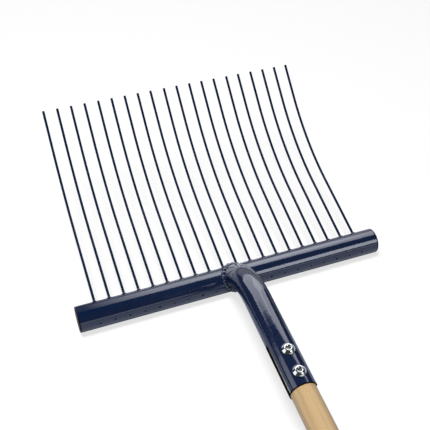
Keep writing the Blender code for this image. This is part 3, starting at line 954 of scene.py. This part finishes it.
def make_washer(where, y, zinc):
    """A plain washer with softened outer edges and a softened lower edge to its hole."""
    place = Matrix.Translation((0, y, HANDLE_HEIGHT - SOCKET_RADIUS - GAP))
    hole = BOLT_RADIUS + GAP
    low, rim = -WASHER_THICKNESS, WASHER_RADIUS - EDGE
    outline = [(hole, 0), (rim, 0), (WASHER_RADIUS, -EDGE), (WASHER_RADIUS, EDGE + low)]
    outline += [(rim, low), (hole + EDGE, low), (hole, EDGE + low)]
    mesh = mesh_from("ring_" + where, turned(outline, FASTENER_SIDES, place), zinc)
    finish_piece("plain_washer_" + where, mesh, ["washer_" + where])


def make_nut(where, y, zinc, nylon):
    """A lock nut: a hexagon with chamfered corners, a round collar and a nylon ring in it."""
    place = Matrix.Translation((0, y, HANDLE_HEIGHT - SOCKET_RADIUS - 2 * GAP - WASHER_THICKNESS))
    flat = NUT_ACROSS_FLATS / 2
    corner = flat / math.cos(math.pi / 6)
    hole = BOLT_RADIUS + GAP
    collar, lip = NUT_COLLAR_RADIUS, NUT_COLLAR_RADIUS - NUT_COLLAR_WALL
    low = -NUT_HEIGHT - NUT_COLLAR_HEIGHT
    step = low + NUT_COLLAR_STEP
    # Turned with its chamfers first, past the corners, and then cut to the hexagon's flats
    outline = [(hole, 0), (flat - HAIR, 0), (corner + 2 * HAIR, -NUT_CHAMFER - HAIR)]
    outline += [(corner + 2 * HAIR, NUT_CHAMFER - NUT_HEIGHT), (flat - HAIR, -NUT_HEIGHT)]
    outline += [(collar, -NUT_HEIGHT), (collar, low + EDGE), (collar - EDGE, low)]
    outline += [(lip, low), (lip, step), (hole, step)]
    mesh = mesh_from("lock_nut_" + where, turned(outline, FASTENER_SIDES, place), zinc)
    block = mesh_from("block", add_prism(bmesh.new(), 6, 3 * corner, NUT_BLOCK, place), zinc)
    hexagon = add_prism(bmesh.new(), 6, corner, NUT_BLOCK + 0.01, place)
    around = bmesh.new()
    around.from_mesh(cut(block, hexagon, "block"))
    mesh = cut(mesh, around, "lock_nut_" + where)
    finish_piece("lock_nut_" + where, mesh, ["nut_" + where], sharp=28)
    ring = [(hole, step + HAIR), (lip - HAIR, step + HAIR), (lip - HAIR, low + 2 * HAIR), (hole, low + HAIR)]
    ring_mesh = mesh_from("nylon_ring_" + where, turned(ring, RING_SIDES, place), nylon)
    finish_piece("nylon_ring_" + where, ring_mesh, [])


# Studio


def make_camera():
    data = bpy.data.cameras.new("camera")
    data.sensor_width = 36
    data.lens = CAMERA_LENS
    data.clip_start = 0.01
    camera = show(bpy.data.objects.new("camera", data))
    camera.location = CAMERA_PLACE
    camera.rotation_euler = [math.radians(a) for a in CAMERA_TURN]
    bpy.context.scene.camera = camera


def make_floor():
    """A pale matt floor that reads as white to the camera and keeps the fork's shadow."""
    mesh = bpy.data.meshes.new("floor")
    left, right, near, far = FLOOR_EDGES
    corners = [(left, near, 0), (right, near, 0), (right, far, 0), (left, far, 0)]
    mesh.from_pydata(corners, [], [(0, 1, 2, 3)])
    nodes = Nodes("white_floor")
    rays = nodes.add("ShaderNodeLightPath").outputs
    seen = rays["Is Camera Ray"]
    ends = {0: nodes.coords, 1: POOL_MIDDLE}
    away = nodes.add("ShaderNodeVectorMath", ends, operation="DISTANCE").outputs["Value"]
    pool = nodes.maths("MULTIPLY", rays["Is Glossy Ray"], nodes.spread(away, POOL_LIGHT, 0.0, *POOL_FADE))
    nodes.set(
        Base_Color=nodes.mix(seen, FLOOR_MIRRORED, FLOOR_SEEN),
        Roughness=0.9,
        Specular_IOR_Level=0.1,
        Emission_Color=(1, 1, 1, 1),
        Emission_Strength=nodes.maths("ADD", nodes.maths("MULTIPLY", seen, FLOOR_GLOW), pool),
    )
    mesh.materials.append(nodes.material)
    show(bpy.data.objects.new("floor", mesh))


def make_lamp(name, place):
    """A rectangular lamp turned to the socket's foot, which the camera doesn't see."""
    azimuth, elevation, distance, width, height, roll, bright = place
    az, el = math.radians(azimuth), math.radians(elevation)
    away = Vector((math.sin(az) * math.cos(el), math.cos(az) * math.cos(el), math.sin(el)))
    data = bpy.data.lights.new(name, "AREA")
    data.shape = "RECTANGLE"
    data.size = width
    data.size_y = height
    data.energy = bright * math.pi * width * height
    lamp = show(bpy.data.objects.new(name, data))
    lamp.location = TOOL @ Vector(LAMP_TARGET) + away * distance
    turn = away.to_track_quat("Z", "Y").to_matrix() @ Matrix.Rotation(math.radians(-roll), 3, "Z")
    lamp.rotation_euler = turn.to_euler()
    lamp.visible_camera = False
    return lamp


def make_lamps():
    for name, place in SOFTBOXES.items():
        make_lamp(name, place).visible_diffuse = False
    make_lamp("overhead", OVERHEAD).visible_glossy = False


def make_world():
    """White to the camera, and a faint even light to everything else."""
    world = bpy.data.worlds.new("studio")
    world.use_nodes = True
    nodes = Graph(world.node_tree)
    seen = nodes.add("ShaderNodeLightPath").outputs["Is Camera Ray"]
    level = nodes.add("ShaderNodeMapRange", {"Value": seen, "To Min": WORLD_LEVEL, "To Max": 1.0})
    back = nodes.tree.nodes["Background"]
    nodes.feed(back.inputs["Color"], (1, 1, 1, 1))
    nodes.feed(back.inputs["Strength"], level.outputs["Result"])
    bpy.context.scene.world = world


def main():
    paint = make_paint("navy_paint", lumps=0.04)
    weld_paint = make_paint("navy_paint_on_weld", lumps=0.12, shine=WELD_SHINE)
    wire_paint = make_paint("navy_paint_on_wire", lumps=0.10, shine=WIRE_SHINE)
    plastic = make_plastic()
    # Black painted shade for the slots, the socket's mouth and the pole inside the socket
    painted_shade = make_painted_shade()
    zinc = make_zinc("bright_zinc", bright=1.0, smooth=0.05, dull=0.14)
    dull = make_zinc("zinc_in_recess", bright=0.9, smooth=0.50, dull=0.65)
    # The crossbar's paint has less sheen at its left end: a painted dark reflection
    make_crossbar(make_paint("navy_paint_on_bar", lumps=0.04, end_shine=BAR_END_SHINE))
    make_tines(wire_paint)
    make_tine_collars(paint)
    make_end_plugs(plastic)
    make_socket(paint, make_worn_edge(), painted_shade)
    make_weld(weld_paint)
    make_handle(make_wood(), painted_shade)
    for where, y in BOLT_PLACES.items():
        make_bolt(where, y, zinc, dull)
        make_washer(where, y, zinc)
        make_nut(where, y, zinc, plastic)
    make_camera()
    make_floor()
    make_lamps()
    make_world()
    bpy.context.scene.view_settings.view_transform = "Standard"


main()
